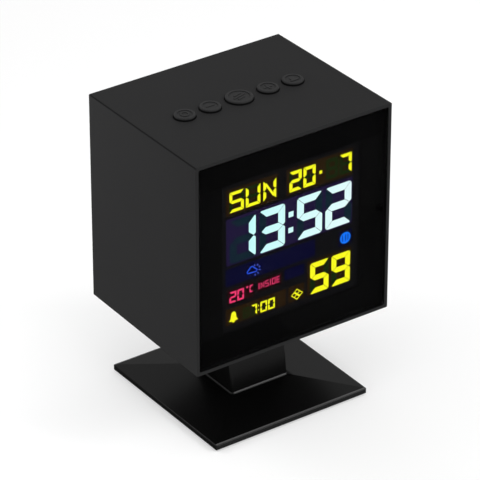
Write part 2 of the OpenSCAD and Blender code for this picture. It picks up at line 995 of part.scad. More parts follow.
// Ribs between the cells
module door_ribs() {
    along_y(door_in_y - door_rib_h, door_in_y)
        for (k = [1 : cell_count - 1])
            translate([0, cell_row_z(k) - cell_pitch / 2])
                square([cell_l / 2, door_rib_t], center = true);
}

function cell_row_z(k) = box_z0 + (box_h - cell_pitch * (cell_count - 1)) / 2 + k * cell_pitch;

// Cells in turn point left and right
module batteries() {
    body_l = cell_l - cell_button_l;
    color("#3d6e8f")
        for (k = [0 : cell_count - 1])
            translate([0, cell_y, mid_z + cell_row_z(k)])
                rotate([0, k % 2 == 0 ? 90 : -90, 0])
                    translate([0, 0, -cell_l / 2]) {
                        cylinder(d = cell_d, h = body_l);
                        cylinder(d = cell_button_d, h = cell_l);
                    }
}

// A sprung leaf at each end of each cell
module battery_contacts() {
    tip_x = -contact_t - contact_reach;
    color("#c9ccd0")
        for (i = [0, 1], k = [0 : cell_count - 1])
            mirror([i, 0, 0])
                translate([box_w / 2, cell_y, mid_z + cell_row_z(k) - leaf_h / 2])
                    linear_extrude(leaf_h)
                        polygon([
                            [0, -leaf_half], [0, leaf_half], [-contact_t, leaf_half],
                            [-contact_t, -leaf_half + 2 * contact_t], [tip_x, leaf_tip],
                            [tip_x, -leaf_tip], [-contact_t, -leaf_half]
                        ]);
}

module usb_socket() {
    mouth_y = cover_y - usb_recess;
    back_y = mouth_y - usb_l;
    color("#b4b6ba")
        along_y(back_y, mouth_y)
            translate([0, usb_z])
                difference() {
                    usb_outline(0);
                    usb_outline(-usb_shell_t);
                }
    color("#202022")
        along_y(back_y, back_y + usb_back_t)
            translate([0, usb_z])
                usb_outline(-usb_shell_t);
    color("#202022")
        along_y(back_y + usb_back_t, mouth_y - usb_tongue_set_back)
            translate([0, usb_z])
                square([usb_tongue_w, usb_tongue_t], center = true);
}

module usb_board() {
    color("#1f5c38")
        translate([-usb_board_w / 2, cover_in_y - usb_board_l, mid_z + usb_board_z])
            cube([usb_board_w, usb_board_l, usb_board_t]);
}

module climate_sensor() {
    board_face_y = cover_in_y - climate_stand_off;
    color("#1f5c38")
        along_y(board_face_y - climate_t, board_face_y)
            translate([-slot_x, climate_z])
                square([climate_w, climate_h], center = true);
    color("#e6e6e4")
        along_y(board_face_y, board_face_y + climate_chip_t)
            translate([-slot_x, climate_z - slot_pitch / 2])
                square(climate_chip, center = true);
}

// Stand

// Side outline of the base: half its width, and half the width of the neck's foot
function base_outline(base_half, foot_half) =
    let (slope = atan(base_rise / (base_half - foot_half)))
    let (edge = [base_half - base_edge_r, base_edge_z - base_edge_r])
    both_sides(concat(
        [[base_half - base_bottom_bevel, base_z], [base_half, base_z + base_bottom_bevel]],
        arc(edge, base_edge_r, 0, 90 - slope),
        [[foot_half, neck_z]]
    ));

module stand() {
    color("#161616")
        difference() {
            union() {
                intersection() {
                    along_x(-base_side, base_side)
                        polygon(base_outline(base_side / 2, neck_foot_d / 2));
                    translate([0, base_side, 0])
                        rotate([90, 0, 0])
                            linear_extrude(2 * base_side)
                                polygon(base_outline(base_side / 2, neck_w / 2));
                    linear_extrude(neck_z + overcut)
                        rounded_rect(base_side, base_side, base_corner_r);
                }
                neck(0, neck_z - neck_foot_bevel, neck_top_z);
                neck(neck_foot_flare, neck_z - neck_foot_bevel, neck_z + neck_foot_bevel);
                translate([0, 0, neck_top_z])
                    linear_extrude(spigot_z - neck_top_z)
                        rounded_rect(spigot_w, spigot_d, spigot_r);
            }
            translate([0, 0, base_z - overcut])
                linear_extrude(base_cover_t + overcut)
                    square(base_recess + 2 * fit_gap, center = true);
            translate([0, 0, base_z])
                linear_extrude(weight_ceiling_z - base_z)
                    square(weight_side + 4 * fit_gap, center = true);
            neck_hollow();
            base_screw_bores();
            stand_screw_bores(neck_roof_z - overcut, spigot_z + overcut, fit_gap);
        }
}

// Neck between two heights, wider by a flare at its foot
module neck(flare, z0, z1) {
    hull() {
        neck_slice(neck_edge_r + flare, neck_w + 2 * flare, neck_depth(z0) + 2 * flare, z0);
        neck_slice(neck_edge_r, neck_w, neck_depth(z1), z1 - skin);
    }
}

module neck_slice(r, w, d, z) {
    translate([0, 0, z])
        linear_extrude(skin)
            rounded_rect(w, d, r, $fn = 24);
}

module neck_hollow() {
    along_x(-neck_w / 2 + stand_wall, neck_w / 2 - stand_wall)
        polygon(both_sides([
            [neck_foot_d / 2 - stand_wall, base_z],
            [neck_foot_d / 2 - stand_wall, neck_z],
            [neck_top_d / 2 - stand_wall, neck_roof_z]
        ]));
}

module base_screw_places() {
    for (a = [0 : 90 : 270])
        rotate(a)
            translate([base_screw_place, 0, 0])
                children();
}

module base_screw_bores() {
    base_screw_places()
        translate([0, 0, base_cover_z - overcut])
            cylinder(d = small_shank_d + 2 * screw_gap, h = overcut + base_screw_l + fit_gap);
}

module stand_screw_bores(z0, z1, gap) {
    for (i = [-1, 1])
        translate([i * stand_screw_x, 0, z0])
            cylinder(d = stand_screw_d + 2 * gap, h = z1 - z0);
}

module stand_clamp() {
    color("#a8a9ab")
        difference() {
            translate([0, 0, pad_z])
                linear_extrude(clamp_t)
                    rounded_rect(clamp_w, clamp_d, spigot_r);
            stand_screw_bores(pad_z - overcut, pad_z + clamp_t + overcut, screw_gap);
        }
}

module stand_screws() {
    color("#8f8f92")
        for (i = [-1, 1])
            translate([i * stand_screw_x, 0, neck_roof_z])
                pan_screw(stand_screw_head_d, stand_screw_head_h, stand_screw_d, stand_screw_l);
}

module weight_plate() {
    color("#77797c")
        translate([0, 0, weight_z])
            linear_extrude(weight_t)
                difference() {
                    rounded_rect(weight_side, weight_side, spigot_r);
                    circle(d = weight_hole_d);
                }
}

module base_cover() {
    color("#1b1b1b")
        difference() {
            translate([0, 0, base_z])
                linear_extrude(base_cover_t)
                    square(base_recess, center = true);
            for (i = [-1, 1], k = [-1, 1])
                translate([i * foot_place, k * foot_place, base_z - overcut])
                    cylinder(d = foot_d + 2 * fit_gap, h = overcut + foot_pocket);
            base_screw_places() {
                translate([0, 0, base_z - overcut])
                    cylinder(d = small_shank_d + 2 * fit_gap, h = base_cover_t + 2 * overcut);
                translate([0, 0, base_z])
                    sink_head(fit_gap);
            }
        }
}

module sink_head(gap) {
    cylinder(d1 = sink_head_d + 2 * gap, d2 = small_shank_d + 2 * gap, h = sink_head_h);
}

module base_cover_screws() {
    color("#8f8f92")
        base_screw_places()
            translate([0, 0, base_z]) {
                difference() {
                    sink_head(0);
                    cross_recess(sink_head_d);
                }
                cylinder(d = small_shank_d, h = base_cover_t + base_screw_l);
            }
}

module rubber_feet() {
    color("#26262a")
        for (i = [-1, 1], k = [-1, 1])
            translate([i * foot_place, k * foot_place, 0]) {
                cylinder(d1 = foot_d - 2 * foot_bevel, d2 = foot_d, h = foot_bevel);
                translate([0, 0, foot_bevel])
                    cylinder(d = foot_d, h = foot_proud + foot_pocket - foot_bevel);
            }
}

housing();
front_lens();
lens_tape();
display_frame();
lcd_panel();
light_guide();
reflector();
backlight_leds();
contact_strips();
main_board();
controller_chip();
buzzer();
light_sensor();
sensor_pipe();
display_screws();
board_screws();
mode_button();
minus_button();
snooze_button();
plus_button();
alarm_button();
mode_plunger();
minus_plunger();
snooze_plunger();
plus_plunger();
alarm_plunger();
switch_bodies();
button_board();
button_board_screws();
board_sockets();
button_lead();
power_lead();
rear_cover();
rear_cover_screws();
battery_door();
batteries();
battery_contacts();
usb_socket();
usb_board();
climate_sensor();
stand();
stand_clamp();
stand_screws();
weight_plate();
base_cover();
base_cover_screws();
rubber_feet();
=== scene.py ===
import math

import bmesh
import bpy
import numpy as np
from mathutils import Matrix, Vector


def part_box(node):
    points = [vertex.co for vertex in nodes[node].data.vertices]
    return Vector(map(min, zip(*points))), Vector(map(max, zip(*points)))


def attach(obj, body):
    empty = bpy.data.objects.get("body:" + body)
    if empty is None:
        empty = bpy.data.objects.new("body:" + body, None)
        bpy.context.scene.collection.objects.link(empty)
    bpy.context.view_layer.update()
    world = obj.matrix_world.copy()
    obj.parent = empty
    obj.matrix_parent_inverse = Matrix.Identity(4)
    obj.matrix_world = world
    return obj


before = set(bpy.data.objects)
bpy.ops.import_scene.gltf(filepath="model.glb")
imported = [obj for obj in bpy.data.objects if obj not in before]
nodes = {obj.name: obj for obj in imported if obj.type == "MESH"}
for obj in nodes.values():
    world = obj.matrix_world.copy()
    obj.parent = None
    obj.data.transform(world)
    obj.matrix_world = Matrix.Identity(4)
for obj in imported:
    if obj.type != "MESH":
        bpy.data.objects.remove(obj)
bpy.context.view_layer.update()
scene = bpy.context.scene
mm = 0.001
print("frame loaded with", len(nodes), "nodes")


# Camera at the photograph's viewing angle

cameraSetup = {
    "aim": (-3.51, -5.42, 60.17),      # mm, the point in the middle of the picture
    "azimuth": -35.04,                 # degrees round from straight in front
    "elevation": 30.09,
    "distance": 1197.4,                # mm
    "lens": 269.28, "sensor": 36,      # mm
    "clip": (0.01, 20),                # m
}


def placeCamera(setup):
    azimuth, elevation = math.radians(setup["azimuth"]), math.radians(setup["elevation"])
    aim = Vector(setup["aim"]) * mm
    towards = Vector((math.sin(azimuth) * math.cos(elevation),
                      -math.cos(azimuth) * math.cos(elevation),
                      math.sin(elevation)))
    data = bpy.data.cameras.new("clockCamera")
    data.lens = setup["lens"]
    data.sensor_width = setup["sensor"]
    data.sensor_fit = "HORIZONTAL"
    data.clip_start, data.clip_end = setup["clip"]
    camera = bpy.data.objects.new("clockCamera", data)
    camera.location = aim + towards * setup["distance"] * mm
    camera.rotation_euler = (-towards).to_track_quat("-Z", "Y").to_euler()
    scene.collection.objects.link(camera)
    scene.camera = camera


placeCamera(cameraSetup)
print("camera placed")


# Helpers for node materials

def newMaterial(name):
    material = bpy.data.materials.new(name)
    material.use_nodes = True
    tree = material.node_tree
    return material, tree, tree.nodes["Principled BSDF"]


def addNode(tree, kind, **values):
    node = tree.nodes.new(kind)
    for key, value in values.items():
        if hasattr(node, key):
            setattr(node, key, value)
        else:
            node.inputs[key].default_value = value
    return node


def wire(tree, *pairs):
    for source, target in pairs:
        tree.links.new(source, target)


# An input takes either another node's output or a plain value
def feed(tree, target, value):
    if isinstance(value, bpy.types.NodeSocket):
        tree.links.new(value, target)
    else:
        target.default_value = value


def calculate(tree, operation, *values):
    node = addNode(tree, "ShaderNodeMath", operation=operation)
    for target, value in zip(node.inputs, values):
        feed(tree, target, value)
    return node.outputs[0]


def objectCoordinates(tree):
    return addNode(tree, "ShaderNodeTexCoord").outputs["Object"]


def objectAxes(tree):
    axes = addNode(tree, "ShaderNodeSeparateXYZ")
    wire(tree, (objectCoordinates(tree), axes.inputs["Vector"]))
    return axes.outputs


def noiseField(tree, scale, detail=2.0, roughness=0.5):
    noise = addNode(tree, "ShaderNodeTexNoise", Scale=scale, Detail=detail, Roughness=roughness)
    wire(tree, (objectCoordinates(tree), noise.inputs["Vector"]))
    return noise.outputs["Fac"]


# Noise lies mostly between 0.3 and 0.7, so that is the span unless another one is given
def spanTo(tree, source, low, high, fromLow=0.3, fromHigh=0.7):
    span = addNode(tree, "ShaderNodeMapRange")
    span.inputs["From Min"].default_value = fromLow
    span.inputs["From Max"].default_value = fromHigh
    span.inputs["To Min"].default_value = low
    span.inputs["To Max"].default_value = high
    wire(tree, (source, span.inputs["Value"]))
    return span.outputs["Result"]


def shade(colour, factor=1.0):
    return (*(channel * factor for channel in colour), 1.0)


def blendColours(tree, factor, first, second, blend="MIX"):
    mix = addNode(tree, "ShaderNodeMix", data_type="RGBA", blend_type=blend)
    for index, value in ((0, factor), (6, first), (7, second)):
        feed(tree, mix.inputs[index], value)
    return mix.outputs[2]


# Tone that drifts by the same share to either side of a colour
def driftTone(tree, factor, colour, spread):
    return blendColours(tree, factor, shade(colour, 1 - spread), shade(colour, 1 + spread))


def roughen(tree, shader, source, low, high):
    wire(tree, (spanTo(tree, source, low, high), shader.inputs["Roughness"]))


def addBump(tree, shader, height, strength, depth):
    bump = addNode(tree, "ShaderNodeBump", Strength=strength, Distance=depth * mm)
    wire(tree, (height, bump.inputs["Height"]), (bump.outputs["Normal"], shader.inputs["Normal"]))


def paint(material, *names):
    for name in names:
        slots = nodes[name].data.materials
        slots.clear()
        slots.append(material)


# Moulded plastic: a slow drift of tone, and a fine spark-eroded grain in bump and roughness

plainPlastic = {
    "drift": 0.08, "driftScale": 60, "driftDetail": 3,
    "grainScale": 4200, "grainDetail": 4, "grainRoughness": 0.6,
    "grainStrength": 0.2, "grainDepth": 0.02,                     # depth in mm
    "roughness": 0.5, "roughnessSpread": 0.06, "specular": 0.2,
    "gloss": 0.0, "glossRoughness": 0.1, "glossIndex": 1.5,       # polished skin over the grain
}


def mouldedPlastic(name, look):
    material, tree, shader = newMaterial(name)
    drift = noiseField(tree, look["driftScale"], look["driftDetail"])
    grain = noiseField(tree, look["grainScale"], look["grainDetail"], look["grainRoughness"])
    wire(tree, (driftTone(tree, drift, look["colour"], look["drift"]), shader.inputs["Base Color"]))
    middle, spread = look["roughness"], look["roughnessSpread"]
    roughen(tree, shader, grain, middle - spread, middle + spread)
    shader.inputs["Specular IOR Level"].default_value = look["specular"]
    shader.inputs["Coat Weight"].default_value = look["gloss"]
    shader.inputs["Coat Roughness"].default_value = look["glossRoughness"]
    shader.inputs["Coat IOR"].default_value = look["glossIndex"]
    addBump(tree, shader, grain, look["grainStrength"], look["grainDepth"])
    return material


# What a finish changes in a moulded plastic: its tree, its shader and the tone that feeds it
def openPlastic(material):
    tree = material.node_tree
    shader = tree.nodes["Principled BSDF"]
    return tree, shader, shader.inputs["Base Color"].links[0].from_socket


# Case: matt black sleeve with painted shade, a darker line along its four long edges

mattBlack = {
    **plainPlastic, "colour": (0.0185, 0.0185, 0.0188),
    "drift": 0.05, "driftScale": 40,
    "grainScale": 5200, "grainStrength": 0.12, "grainDepth": 0.012,
    "roughness": 0.62, "specular": 0.03,
}
caseLook = {
    **mattBlack,
    "edgeShadeTone": (0.3, 0.3, 0.3),       # share of the tone left along the long edges, as painted shade
    "edgeReach": (0.2, 0.55),          # mm from the edge, where the line starts to fade and ends
    "draft": 0.5,                      # degrees, each wall
}


# Distance to a wall: half the drafted width at this depth, less the distance from the middle
# A long edge is where both walls are near
def caseFinish(name, look):
    material = mouldedPlastic(name, look)
    tree, shader, tone = openPlastic(material)
    axes = objectAxes(tree)
    low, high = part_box("housing")
    slope = math.tan(math.radians(look["draft"]))
    half = calculate(tree, "MULTIPLY_ADD", axes["Y"], -slope, high.x + slope * low.y)
    near = []
    for axis, middle in (("X", 0.0), ("Z", (low.z + high.z) / 2)):
        away = calculate(tree, "ABSOLUTE", calculate(tree, "SUBTRACT", axes[axis], middle))
        inside = calculate(tree, "SUBTRACT", half, away)
        near.append(spanTo(tree, inside, 1, 0, *(reach * mm for reach in look["edgeReach"])))
    edges = calculate(tree, "MULTIPLY", *near)
    # Painted shade: the tone is darkened where both walls are near
    edged = blendColours(tree, edges, tone, shade(look["edgeShadeTone"]), "MULTIPLY")
    wire(tree, (edged, shader.inputs["Base Color"]))
    return material


paint(caseFinish("caseMattBlack", caseLook), "housing")

# Keys: grained tops with sides darkened as painted shade, and the raised rim and sign painted a
# little lighter than the dish as painted light
keyLook = {
    **mattBlack, "colour": (0.0255, 0.0255, 0.0258), "grainScale": 6000, "roughness": 0.5,
    "sideShadeTone": 0.18,                  # share of the tone on the sides, painted shade
    "sideTop": (0.6, 0.42),            # mm under the top, where the sides end
    "reliefLightTone": 1.02,                # the same two for the rim and the sign, painted light
    "reliefTop": (0.28, 0.18),
}


# Tone over height, as painted shade and light: the height under the key's top picks the side, the
# dish or the relief
def keyFinish(name, look):
    material = mouldedPlastic(name, look)
    tree, shader, tone = openPlastic(material)
    height = objectAxes(tree)["Z"]
    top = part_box("snooze_button")[1].z
    shares = []
    bands = (("sideTop", look["sideShadeTone"], 1.0), ("reliefTop", 1.0, look["reliefLightTone"]))
    for band, low, high in bands:
        shares.append(spanTo(tree, height, low, high, *(top - depth * mm for depth in look[band])))
    toned = addNode(tree, "ShaderNodeVectorMath", operation="SCALE")
    wire(tree, (tone, toned.inputs[0]),
         (calculate(tree, "MULTIPLY", *shares), toned.inputs["Scale"]),
         (toned.outputs[0], shader.inputs["Base Color"]))
    return material


paint(keyFinish("keyMattBlack", keyLook),
      "mode_button", "minus_button", "snooze_button", "plus_button", "alarm_button")

rearLook = {
    **mattBlack, "colour": (0.021, 0.021, 0.0212),
    "grainScale": 3200, "grainStrength": 0.3, "grainDepth": 0.03,
}
paint(mouldedPlastic("rearGrainedBlack", rearLook), "rear_cover", "battery_door")

# Stand: black under a thin polished skin, with a painted highlight, a lighter line along its front
# and rear edges
standLook = {
    **plainPlastic, "colour": (0.0022, 0.0022, 0.0022), "specular": 0.0,
    "grainStrength": 0.04, "grainDepth": 0.006,
    "gloss": 0.165, "glossRoughness": 0.26, "glossIndex": 1.8,
    # painted highlight: the lighter line along the front and rear edges
    "edgeHighlightColour": (0.085, 0.085, 0.085),
    "edgeReach": (0.95, 0.85),         # mm in from the outer edge
    "edgeHeight": (2.42, 2.48),        # mm over the table
    "sideGloss": 0.055,                # thinner skin on the left and right walls
    "sideReach": (0.4, 0.1),           # mm in from those walls
    "grooveGloss": 0.3,                # share of the skin in the groove round the neck's foot
    "grooveHeight": (5.3, 5.45, 5.7, 5.8),             # mm over the table, where it comes and goes
}


# Edge line: a painted highlight in a strip along the front and rear edges, found by height and
# distance from the middle
# Skin: full up to the left and right walls, where it thins, and thinner in a band of heights too
def standFinish(name, look):
    material = mouldedPlastic(name, look)
    tree, shader, tone = openPlastic(material)
    axes = objectAxes(tree)
    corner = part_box("stand")[1]
    forward = calculate(tree, "ABSOLUTE", axes["Y"])
    inward = spanTo(tree, forward, 0, 1, *(corner.y - reach * mm for reach in look["edgeReach"]))
    upward = spanTo(tree, axes["Z"], 0, 1, *(height * mm for height in look["edgeHeight"]))
    edges = calculate(tree, "MULTIPLY", inward, upward)
    edged = blendColours(tree, edges, tone, shade(look["edgeHighlightColour"]))
    sideways = calculate(tree, "ABSOLUTE", axes["X"])
    walls = spanTo(tree, sideways, look["gloss"], look["sideGloss"],
                   *(corner.x - reach * mm for reach in look["sideReach"]))
    low, full, thin, high = (height * mm for height in look["grooveHeight"])
    groove = calculate(tree, "MULTIPLY", spanTo(tree, axes["Z"], 0, 1, low, full),
                       spanTo(tree, axes["Z"], 1, 0, thin, high))
    skin = calculate(tree, "MULTIPLY", walls, spanTo(tree, groove, 1, look["grooveGloss"], 0, 1))
    wire(tree, (edged, shader.inputs["Base Color"]), (skin, shader.inputs["Coat Weight"]))
    return material


paint(standFinish("standSatinBlack", standLook), "stand")

baseLook = {**plainPlastic, "colour": (0.012, 0.012, 0.012)}
paint(mouldedPlastic("baseCoverBlack", baseLook), "base_cover")

footLook = {**plainPlastic, "colour": (0.016, 0.016, 0.017), "roughness": 0.8, "grainScale": 2500}
paint(mouldedPlastic("footRubber", footLook), "rubber_feet")

frameLook = {**plainPlastic, "colour": (0.0022, 0.0022, 0.0022), "roughness": 0.7, "specular": 0.02}
paint(mouldedPlastic("displayFrameBlack", frameLook), "display_frame", "lens_tape")

sensorLook = {**frameLook, "colour": (0.0006, 0.0006, 0.0007), "specular": 0.01}
paint(mouldedPlastic("sensorDark", sensorLook), "light_sensor", "sensor_pipe")

chipLook = {**plainPlastic, "colour": (0.01, 0.01, 0.011), "grainScale": 8000}
paint(mouldedPlastic("chipBlack", chipLook), "controller_chip", "buzzer", "switch_bodies")

stripLook = {**chipLook, "colour": (0.022, 0.022, 0.028), "roughness": 0.7}
paint(mouldedPlastic("contactRubber", stripLook), "contact_strips")

plungerLook = {**chipLook, "colour": (0.62, 0.58, 0.5), "drift": 0.04, "specular": 0.4}
paint(mouldedPlastic("plungerIvory", plungerLook),
      "mode_plunger", "minus_plunger", "snooze_plunger", "plus_plunger", "alarm_plunger",
      "board_sockets")

leadLook = {**plungerLook, "colour": (0.5, 0.5, 0.52)}
paint(mouldedPlastic("leadGrey", leadLook), "button_lead", "power_lead")

guideLook = {**plungerLook, "colour": (0.75, 0.8, 0.84), "roughness": 0.25}
paint(mouldedPlastic("lightGuideClear", guideLook), "light_guide")

reflectorLook = {**plungerLook, "colour": (0.85, 0.85, 0.84), "roughness": 0.6}
paint(mouldedPlastic("reflectorWhite", reflectorLook), "reflector")

ledLook = {**plungerLook, "colour": (0.85, 0.76, 0.36), "roughness": 0.35}
paint(mouldedPlastic("lampAmber", ledLook), "backlight_leds")

glassLook = {**frameLook, "colour": (0.0025, 0.0025, 0.0028), "roughness": 0.3}
paint(mouldedPlastic("displayGlass", glassLook), "lcd_panel")
print("mouldings and glass finished")


# Metal: brushed along one axis by stretching the noise

screwLook = {
    "colour": (0.52, 0.52, 0.53), "streakTones": (0.88, 1.1),
    "streakScale": 900, "streakDetail": 4, "stretch": (1, 1, 1),
    "roughness": 0.32, "roughnessSpan": (-0.08, 0.1),
    "scratchStrength": 0.15, "scratchDepth": 0.01,                # depth in mm
}


def brushedMetal(name, look):
    material, tree, shader = newMaterial(name)
    stretch = addNode(tree, "ShaderNodeMapping", Scale=look["stretch"])
    noise = addNode(tree, "ShaderNodeTexNoise",
                    Scale=look["streakScale"], Detail=look["streakDetail"])
    wire(tree, (objectCoordinates(tree), stretch.inputs["Vector"]),
         (stretch.outputs["Vector"], noise.inputs["Vector"]))
    streak = noise.outputs["Fac"]
    tones = (shade(look["colour"], share) for share in look["streakTones"])
    wire(tree, (blendColours(tree, streak, *tones), shader.inputs["Base Color"]))
    roughen(tree, shader, streak, *(look["roughness"] + change for change in look["roughnessSpan"]))
    shader.inputs["Metallic"].default_value = 1.0
    addBump(tree, shader, streak, look["scratchStrength"], look["scratchDepth"])
    return material


paint(brushedMetal("screwZinc", screwLook), "display_screws", "board_screws", "button_board_screws")

darkScrewLook = {**screwLook, "colour": (0.12, 0.12, 0.125), "roughness": 0.38}
paint(brushedMetal("screwBlack", darkScrewLook),
      "rear_cover_screws", "base_cover_screws", "stand_screws")

steelLook = {**screwLook, "colour": (0.42, 0.43, 0.44), "stretch": (1, 14, 1), "roughness": 0.4}
paint(brushedMetal("steelPlate", steelLook), "weight_plate", "stand_clamp")

springLook = {**screwLook, "colour": (0.6, 0.61, 0.63), "roughness": 0.28, "stretch": (1, 1, 10)}
paint(brushedMetal("springNickel", springLook), "battery_contacts")

inletLook = {**screwLook, "colour": (0.5, 0.51, 0.53), "stretch": (1, 12, 1)}
paint(brushedMetal("inletNickel", inletLook), "usb_socket")


# Circuit boards: solder mask with fine copper tracks under it

boardLook = {
    "colour": (0.012, 0.075, 0.032), "track": (0.03, 0.15, 0.06),
    "trackScale": 160, "trackWidth": 0.03, "turn": (math.pi / 2, 0, 0),
    "maskScale": 900, "roughness": (0.3, 0.42),
    "reliefStrength": 0.3, "reliefDepth": 0.02,                   # depth in mm
}


def circuitBoard(name, look):
    material, tree, shader = newMaterial(name)
    turn = addNode(tree, "ShaderNodeMapping", Rotation=look["turn"])
    bricks = addNode(tree, "ShaderNodeTexBrick", Scale=look["trackScale"])
    bricks.inputs["Mortar Size"].default_value = look["trackWidth"]
    wire(tree, (objectCoordinates(tree), turn.inputs["Vector"]),
         (turn.outputs["Vector"], bricks.inputs["Vector"]))
    tracks = bricks.outputs["Fac"]
    tone = blendColours(tree, tracks, shade(look["colour"]), shade(look["track"]))
    wire(tree, (tone, shader.inputs["Base Color"]))
    roughen(tree, shader, noiseField(tree, look["maskScale"]), *look["roughness"])
    addBump(tree, shader, tracks, look["reliefStrength"], look["reliefDepth"])
    return material


paint(circuitBoard("boardGreen", boardLook), "main_board", "climate_sensor")
flatBoardLook = {**boardLook, "turn": (0, 0, 0)}
paint(circuitBoard("boardGreenFlat", flatBoardLook), "button_board", "usb_board")

cellLook = {
    "sleeve": (0.02, 0.045, 0.075), "band": (0.5, 0.36, 0.12), "metallic": 0.4,
    "bandFrom": (11.9, 12.1),          # mm from a cell's middle, where its end bands start
    "wearScale": 300, "roughness": (0.24, 0.36),
}


# Cell sleeve: a band at either end, found by the distance from the middle along the cell
def cellSleeve(name, look):
    material, tree, shader = newMaterial(name)
    along = calculate(tree, "ABSOLUTE", objectAxes(tree)["X"])
    band = spanTo(tree, along, 0, 1, *(place * mm for place in look["bandFrom"]))
    tone = blendColours(tree, band, shade(look["sleeve"]), shade(look["band"]))
    wire(tree, (tone, shader.inputs["Base Color"]))
    roughen(tree, shader, noiseField(tree, look["wearScale"]), *look["roughness"])
    shader.inputs["Metallic"].default_value = look["metallic"]
    return material


paint(cellSleeve("cellSleeve", cellLook), "batteries")
print("metal, boards and cells finished")


# Front panel: smoked sheet with a weak reflection, so the display shines through it

panelLook = {
    "colour": (0.007, 0.007, 0.0072), "drift": 0.2, "driftScale": 90,
    "roughness": (0.04, 0.08), "specular": 0.035, "alpha": 0.14,
}


def smokedSheet(name, look):
    material, tree, shader = newMaterial(name)
    drift = noiseField(tree, look["driftScale"])
    wire(tree, (driftTone(tree, drift, look["colour"], look["drift"]), shader.inputs["Base Color"]))
    roughen(tree, shader, drift, *look["roughness"])
    shader.inputs["Specular IOR Level"].default_value = look["specular"]
    shader.inputs["Alpha"].default_value = look["alpha"]
    return material


paint(smokedSheet("panelSmoked", panelLook), "front_lens")
print("panel finished")


# Display: thin layers on the glass, drawn in millimetres from the middle of the face

glassLow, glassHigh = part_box("lcd_panel")
glassFront = glassLow.y / mm
glassMidZ = (glassLow.z + glassHigh.z) / 2 / mm
panelFront, panelBack = (corner.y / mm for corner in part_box("front_lens"))
panelGap = glassFront - panelBack
printDepth = 0.03                      # mm
layers = {                             # mm in front of the glass, rear and front of a layer
    "field": (0.0, 0.02), "tile": (0.02, 0.04), "mark": (0.04, 0.07), "moonLine": (0.07, 0.08),
    "print": (panelGap - printDepth, panelGap),
    "panel": (panelGap, glassFront - panelFront),
}


# Lit layer: its own light drifts a little over the glass, or changes from left to right

litGlass = {
    "body": (0.002, 0.002, 0.002), "roughness": 0.5, "strength": 1.0,
    "drift": 0.06, "driftScale": 220, "driftDetail": 3,
}


def litLayer(name, settings):
    look = {**litGlass, **settings}
    material, tree, shader = newMaterial(name)
    if "right" in look:
        across = spanTo(tree, objectAxes(tree)["X"], 0, 1, *(x * mm for x in look["reach"]))
        tone = blendColours(tree, across, shade(look["light"]), shade(look["right"]))
    else:
        drift = noiseField(tree, look["driftScale"], look["driftDetail"])
        tone = driftTone(tree, drift, look["light"], look["drift"])
    wire(tree, (tone, shader.inputs["Emission Color"]))
    shader.inputs["Emission Strength"].default_value = look["strength"]
    shader.inputs["Base Color"].default_value = shade(look["body"])
    shader.inputs["Roughness"].default_value = look["roughness"]
    shader.inputs["Specular IOR Level"].default_value = 0.0
    return material


# Screen levels from 0 to 255 turned into linear light, by the usual curve of screens
def lit(red, green, blue):
    channels = np.array((red, green, blue)) / 255
    linear = np.where(channels <= 0.04045, channels / 12.92, ((channels + 0.055) / 1.055) ** 2.4)
    return tuple(float(channel) for channel in linear)


tiny = 1e-12                           # steps under this count as none


# Part of a convex outline on one side of the line a x + b z = c, for all its edges together
# Kept corners stay, and an edge that crosses the line ends where its two distances share it
def cutOutline(outline, a, b, c):
    side = c - outline @ np.array((a, b))
    following = np.roll(outline, -1, axis=0)
    sideNext = np.roll(side, -1)
    step = side - sideNext
    share = side / np.where(np.abs(step) < tiny, 1, step)
    crossing = outline + share[:, None] * (following - outline)
    both = np.stack([outline, crossing], axis=1)
    kept = np.stack([side >= 0, (side >= 0) != (sideNext >= 0)], axis=1)
    return both[kept]


# Rectangle between two corners, going round once
def boxOutline(x0, z0, x1, z1):
    return np.array(((x1, z0), (x1, z1), (x0, z1), (x0, z0)))


# Rectangle with rounded corners: quarter circles about the four corner centres, going round once
def roundedOutline(width, height, radius, steps=6):
    angle = np.linspace(0, math.pi / 2, steps)[None, :] + np.arange(4)[:, None] * math.pi / 2
    centreX = np.array((width - radius, radius, radius, width - radius))[:, None]
    centreZ = np.array((height - radius, height - radius, radius, radius))[:, None]
    x = centreX + radius * np.cos(angle)
    z = centreZ + radius * np.sin(angle)
    return np.stack([x.ravel(), z.ravel()], axis=1)


# Points about a centre: a radius, or one for each point, along the given angles
def polarPoints(centre, radius, degrees):
    angle = np.radians(degrees)
    return np.column_stack([centre[0] + radius * np.cos(angle), centre[1] + radius * np.sin(angle)])


# Even angles once round, in degrees
def fullTurn(steps):
    return np.arange(steps) * 360 / steps


# Closed plates from flat outlines: each gives a front, a back and one wall for each of its edges
def outlinePlates(outlines, layer):
    rear, front = (glassFront - depth for depth in layers[layer])
    points, faces, start = [], [], 0
    for outline in outlines:
        count = len(outline)
        z = outline[:, 1] + glassMidZ
        points.append(np.column_stack([outline[:, 0], np.full(count, front), z]))
        points.append(np.column_stack([outline[:, 0], np.full(count, rear), z]))
        ring = start + np.arange(count)
        following = np.roll(ring, -1)
        walls = np.column_stack([ring, ring + count, following + count, following])
        faces += [ring.tolist(), (ring[::-1] + count).tolist(), *walls.tolist()]
        start += 2 * count
    return np.concatenate(points), faces


def boxPlates(places, layer):
    return outlinePlates([boxOutline(*place) for place in places], layer)


